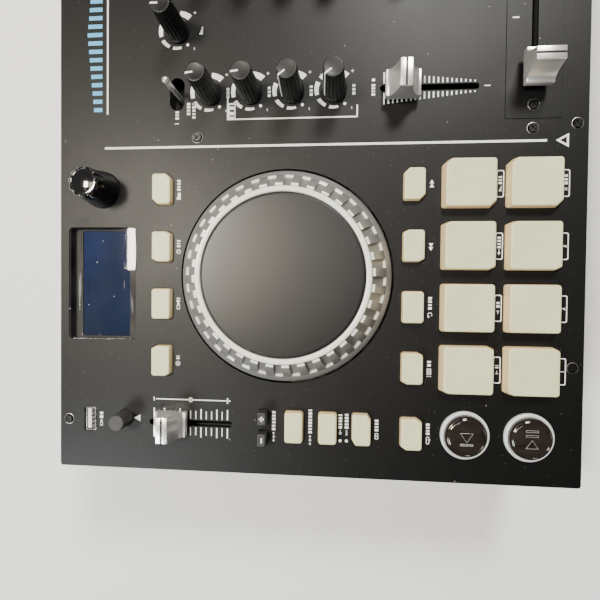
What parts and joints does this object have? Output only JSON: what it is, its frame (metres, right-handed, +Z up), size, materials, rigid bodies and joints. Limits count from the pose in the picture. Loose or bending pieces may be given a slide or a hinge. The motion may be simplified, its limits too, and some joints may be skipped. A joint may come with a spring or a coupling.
{
  "type": "dj controller",
  "caption": "Two-deck tabletop disc-jockey workstation: jog wheels, soft pads and keys, pitch faders, displays, and a mixer with rotary knobs, toggle switches and sliding faders.",
  "frame": {"origin": "centre of the footprint, on the surface the feet stand on", "axes": "+X to the user's right along the width, +Y away from the user, +Z up"},
  "size_m": [0.4826, 0.282, 0.105],
  "materials": {
    "panel_black": "satin powder coat",
    "tray_black": "satin powder coat",
    "window_clear": "clear acrylic",
    "display_blue": "blue display glass",
    "bearing_grey": "moulded",
    "control_steel": "plated",
    "board_green": "solder mask",
    "drive_steel": "zinc plated",
    "supply_aluminium": "plain",
    "contact_nickel": "nickel plated",
    "screw_black": "black oxide",
    "foot_rubber": "matt",
    "jog_silver": "silver lacquer",
    "knob_gloss": "gloss",
    "knob_black": "satin",
    "cap_silver": "brushed",
    "lever_chrome": "polished",
    "key_black": "matt",
    "button_gloss": "dark chrome",
    "key_cream": "translucent silicone"
  },
  "bodies": {
    "root": {"top_panel": "panel_black", "chassis_tray": "tray_black", "crossfader_plate": "panel_black", "display_windows": "window_clear", "display_modules": "display_blue", "jog_bearings": "bearing_grey", "potentiometers": "control_steel", "circuit_boards": "board_green", "disc_drives": "drive_steel", "power_supply": "supply_aluminium", "connectors": "contact_nickel", "panel_screws": "screw_black", "feet": "foot_rubber"},
    "jog_wheel_a": {"jog_wheel_a": "jog_silver"},
    "select_knob_a": {"select_knob_a": "knob_gloss"},
    "pitch_slider_a": {"pitch_slider_a": "cap_silver"},
    "eject_button_a": {"eject_button_a": "key_black"},
    "bend_up_key_a": {"bend_up_key_a": "key_black"},
    "bend_down_key_a": {"bend_down_key_a": "key_black"},
    "pitch_range_key_a": {"pitch_range_key_a": "key_cream"},
    "search_key_a": {"search_key_a": "key_cream"},
    "single_key_a": {"single_key_a": "key_cream"},
    "repeat_key_a": {"repeat_key_a": "key_cream"},
    "track_next_key_a": {"track_next_key_a": "key_cream"},
    "track_back_key_a": {"track_back_key_a": "key_cream"},
    "reloop_key_a": {"reloop_key_a": "key_cream"},
    "program_key_a": {"program_key_a": "key_cream"},
    "folder_key_a": {"folder_key_a": "key_cream"},
    "time_key_a": {"time_key_a": "key_cream"},
    "usb_key_a": {"usb_key_a": "key_cream"},
    "disc_key_a": {"disc_key_a": "key_cream"},
    "brake_pad_a": {"brake_pad_a": "key_cream"},
    "reverse_pad_a": {"reverse_pad_a": "key_cream"},
    "loop_out_pad_a": {"loop_out_pad_a": "key_cream"},
    "loop_in_pad_a": {"loop_in_pad_a": "key_cream"},
    "delete_pad_a": {"delete_pad_a": "key_cream"},
    "sample_pad_3_a": {"sample_pad_3_a": "key_cream"},
    "sample_pad_2_a": {"sample_pad_2_a": "key_cream"},
    "sample_pad_1_a": {"sample_pad_1_a": "key_cream"},
    "cue_button_a": {"cue_button_a": "button_gloss"},
    "play_button_a": {"play_button_a": "button_gloss"},
    "input_switch_1": {"input_switch_1": "lever_chrome"},
    "gain_knob_1": {"gain_knob_1": "knob_black"},
    "high_knob_1": {"high_knob_1": "knob_black"},
    "mid_knob_1": {"mid_knob_1": "knob_black"},
    "low_knob_1": {"low_knob_1": "knob_black"},
    "channel_fader_1": {"channel_fader_1": "cap_silver"},
    "crossfader": {"crossfader": "cap_silver"},
    "input_switch_2": {"input_switch_2": "lever_chrome"},
    "gain_knob_2": {"gain_knob_2": "knob_black"},
    "high_knob_2": {"high_knob_2": "knob_black"},
    "mid_knob_2": {"mid_knob_2": "knob_black"},
    "low_knob_2": {"low_knob_2": "knob_black"},
    "channel_fader_2": {"channel_fader_2": "cap_silver"},
    "master_knob": {"master_knob": "knob_black"},
    "jog_wheel_b": {"jog_wheel_b": "jog_silver"},
    "select_knob_b": {"select_knob_b": "knob_gloss"},
    "pitch_slider_b": {"pitch_slider_b": "cap_silver"},
    "soft_keys_b": {"soft_keys_b": "key_cream"},
    "hard_keys_b": {"hard_keys_b": "key_black"}
  },
  "joints": [
    {"name": "jog_wheel_a_turn", "type": "hinge", "parent": "root", "child": "jog_wheel_a", "pos_m": [-0.1332, 0.0132, 0.08], "axis": [0, 0, 1], "continuous": true},
    {"name": "select_knob_a_turn", "type": "hinge", "parent": "root", "child": "select_knob_a", "pos_m": [-0.0857, 0.1168, 0.08], "axis": [0, 0, 1], "continuous": true},
    {"name": "pitch_slider_a_slide", "type": "slide", "parent": "root", "child": "pitch_slider_a", "axis": [0, 1, 0], "range_m": [-0.0318, 0.011]},
    {"name": "eject_button_a_press", "type": "slide", "parent": "root", "child": "eject_button_a", "axis": [0, 0, -1], "range_m": [0, 0.0012], "stiffness_N_per_m": 500, "springref_m": -0.0006},
    {"name": "bend_up_key_a_press", "type": "slide", "parent": "root", "child": "bend_up_key_a", "axis": [0, 0, -1], "range_m": [0, 0.0012], "stiffness_N_per_m": 500, "springref_m": -0.0006},
    {"name": "bend_down_key_a_press", "type": "slide", "parent": "root", "child": "bend_down_key_a", "axis": [0, 0, -1], "range_m": [0, 0.0012], "stiffness_N_per_m": 500, "springref_m": -0.0006},
    {"name": "pitch_range_key_a_press", "type": "slide", "parent": "root", "child": "pitch_range_key_a", "axis": [0, 0, -1], "range_m": [0, 0.0012], "stiffness_N_per_m": 500, "springref_m": -0.0006},
    {"name": "search_key_a_press", "type": "slide", "parent": "root", "child": "search_key_a", "axis": [0, 0, -1], "range_m": [0, 0.0012], "stiffness_N_per_m": 500, "springref_m": -0.0006},
    {"name": "single_key_a_press", "type": "slide", "parent": "root", "child": "single_key_a", "axis": [0, 0, -1], "range_m": [0, 0.0012], "stiffness_N_per_m": 500, "springref_m": -0.0006},
    {"name": "repeat_key_a_press", "type": "slide", "parent": "root", "child": "repeat_key_a", "axis": [0, 0, -1], "range_m": [0, 0.0012], "stiffness_N_per_m": 500, "springref_m": -0.0006},
    {"name": "track_next_key_a_press", "type": "slide", "parent": "root", "child": "track_next_key_a", "axis": [0, 0, -1], "range_m": [0, 0.0012], "stiffness_N_per_m": 500, "springref_m": -0.0006},
    {"name": "track_back_key_a_press", "type": "slide", "parent": "root", "child": "track_back_key_a", "axis": [0, 0, -1], "range_m": [0, 0.0012], "stiffness_N_per_m": 500, "springref_m": -0.0006},
    {"name": "reloop_key_a_press", "type": "slide", "parent": "root", "child": "reloop_key_a", "axis": [0, 0, -1], "range_m": [0, 0.0012], "stiffness_N_per_m": 500, "springref_m": -0.0006},
    {"name": "program_key_a_press", "type": "slide", "parent": "root", "child": "program_key_a", "axis": [0, 0, -1], "range_m": [0, 0.0012], "stiffness_N_per_m": 500, "springref_m": -0.0006},
    {"name": "folder_key_a_press", "type": "slide", "parent": "root", "child": "folder_key_a", "axis": [0, 0, -1], "range_m": [0, 0.0012], "stiffness_N_per_m": 500, "springref_m": -0.0006},
    {"name": "time_key_a_press", "type": "slide", "parent": "root", "child": "time_key_a", "axis": [0, 0, -1], "range_m": [0, 0.0012], "stiffness_N_per_m": 500, "springref_m": -0.0006},
    {"name": "usb_key_a_press", "type": "slide", "parent": "root", "child": "usb_key_a", "axis": [0, 0, -1], "range_m": [0, 0.0012], "stiffness_N_per_m": 500, "springref_m": -0.0006},
    {"name": "disc_key_a_press", "type": "slide", "parent": "root", "child": "disc_key_a", "axis": [0, 0, -1], "range_m": [0, 0.0012], "stiffness_N_per_m": 500, "springref_m": -0.0006},
    {"name": "brake_pad_a_press", "type": "slide", "parent": "root", "child": "brake_pad_a", "axis": [0, 0, -1], "range_m": [0, 0.0012], "stiffness_N_per_m": 500, "springref_m": -0.0006},
    {"name": "reverse_pad_a_press", "type": "slide", "parent": "root", "child": "reverse_pad_a", "axis": [0, 0, -1], "range_m": [0, 0.0012], "stiffness_N_per_m": 500, "springref_m": -0.0006},
    {"name": "loop_out_pad_a_press", "type": "slide", "parent": "root", "child": "loop_out_pad_a", "axis": [0, 0, -1], "range_m": [0, 0.0012], "stiffness_N_per_m": 500, "springref_m": -0.0006},
    {"name": "loop_in_pad_a_press", "type": "slide", "parent": "root", "child": "loop_in_pad_a", "axis": [0, 0, -1], "range_m": [0, 0.0012], "stiffness_N_per_m": 500, "springref_m": -0.0006},
    {"name": "delete_pad_a_press", "type": "slide", "parent": "root", "child": "delete_pad_a", "axis": [0, 0, -1], "range_m": [0, 0.0012], "stiffness_N_per_m": 500, "springref_m": -0.0006},
    {"name": "sample_pad_3_a_press", "type": "slide", "parent": "root", "child": "sample_pad_3_a", "axis": [0, 0, -1], "range_m": [0, 0.0012], "stiffness_N_per_m": 500, "springref_m": -0.0006},
    {"name": "sample_pad_2_a_press", "type": "slide", "parent": "root", "child": "sample_pad_2_a", "axis": [0, 0, -1], "range_m": [0, 0.0012], "stiffness_N_per_m": 500, "springref_m": -0.0006},
    {"name": "sample_pad_1_a_press", "type": "slide", "parent": "root", "child": "sample_pad_1_a", "axis": [0, 0, -1], "range_m": [0, 0.0012], "stiffness_N_per_m": 500, "springref_m": -0.0006},
    {"name": "cue_button_a_press", "type": "slide", "parent": "root", "child": "cue_button_a", "axis": [0, 0, -1], "range_m": [0, 0.0012], "stiffness_N_per_m": 500, "springref_m": -0.0006},
    {"name": "play_button_a_press", "type": "slide", "parent": "root", "child": "play_button_a", "axis": [0, 0, -1], "range_m": [0, 0.0012], "stiffness_N_per_m": 500, "springref_m": -0.0006},
    {"name": "input_switch_1_tilt", "type": "hinge", "parent": "root", "child": "input_switch_1", "pos_m": [-0.034, 0.0738, 0.068], "axis": [0, 1, 0], "range_deg": [-15, 15]},
    {"name": "gain_knob_1_turn", "type": "hinge", "parent": "root", "child": "gain_knob_1", "pos_m": [-0.034, 0.0559, 0.08], "axis": [0, 0, 1], "range_deg": [-150, 150]},
    {"name": "high_knob_1_turn", "type": "hinge", "parent": "root", "child": "high_knob_1", "pos_m": [-0.034, 0.0333, 0.08], "axis": [0, 0, 1], "range_deg": [-150, 150]},
    {"name": "mid_knob_1_turn", "type": "hinge", "parent": "root", "child": "mid_knob_1", "pos_m": [-0.034, 0.0107, 0.08], "axis": [0, 0, 1], "range_deg": [-150, 150]},
    {"name": "low_knob_1_turn", "type": "hinge", "parent": "root", "child": "low_knob_1", "pos_m": [-0.034, -0.0119, 0.08], "axis": [0, 0, 1], "range_deg": [-150, 150]},
    {"name": "channel_fader_1_slide", "type": "slide", "parent": "root", "child": "channel_fader_1", "axis": [0, 1, 0], "range_m": [-0.0366, 0.0086]},
    {"name": "crossfader_slide", "type": "slide", "parent": "root", "child": "crossfader", "axis": [1, 0, 0], "range_m": [-0.002, 0.058]},
    {"name": "input_switch_2_tilt", "type": "hinge", "parent": "root", "child": "input_switch_2", "pos_m": [0.034, 0.0738, 0.068], "axis": [0, 1, 0], "range_deg": [-15, 15]},
    {"name": "gain_knob_2_turn", "type": "hinge", "parent": "root", "child": "gain_knob_2", "pos_m": [0.034, 0.0559, 0.08], "axis": [0, 0, 1], "range_deg": [-150, 150]},
    {"name": "high_knob_2_turn", "type": "hinge", "parent": "root", "child": "high_knob_2", "pos_m": [0.034, 0.0333, 0.08], "axis": [0, 0, 1], "range_deg": [-150, 150]},
    {"name": "mid_knob_2_turn", "type": "hinge", "parent": "root", "child": "mid_knob_2", "pos_m": [0.034, 0.0107, 0.08], "axis": [0, 0, 1], "range_deg": [-150, 150]},
    {"name": "low_knob_2_turn", "type": "hinge", "parent": "root", "child": "low_knob_2", "pos_m": [0.034, -0.0119, 0.08], "axis": [0, 0, 1], "range_deg": [-150, 150]},
    {"name": "channel_fader_2_slide", "type": "slide", "parent": "root", "child": "channel_fader_2", "axis": [0, 1, 0], "range_m": [-0.0366, 0.0086]},
    {"name": "master_knob_turn", "type": "hinge", "parent": "root", "child": "master_knob", "pos_m": [0, 0.0738, 0.08], "axis": [0, 0, 1], "range_deg": [-180, 120]},
    {"name": "jog_wheel_b_turn", "type": "hinge", "parent": "root", "child": "jog_wheel_b", "pos_m": [0.1708, 0.0132, 0.08], "axis": [0, 0, 1], "continuous": true},
    {"name": "select_knob_b_turn", "type": "hinge", "parent": "root", "child": "select_knob_b", "pos_m": [0.2183, 0.1168, 0.08], "axis": [0, 0, 1], "continuous": true},
    {"name": "pitch_slider_b_slide", "type": "slide", "parent": "root", "child": "pitch_slider_b", "axis": [0, 1, 0], "range_m": [-0.0318, 0.011]},
    {"name": "soft_keys_b_press", "type": "slide", "parent": "root", "child": "soft_keys_b", "axis": [0, 0, -1], "range_m": [0, 0.0012], "stiffness_N_per_m": 1500, "springref_m": -0.0006},
    {"name": "hard_keys_b_press", "type": "slide", "parent": "root", "child": "hard_keys_b", "axis": [0, 0, -1], "range_m": [0, 0.0012], "stiffness_N_per_m": 500, "springref_m": -0.0006}
  ]
}
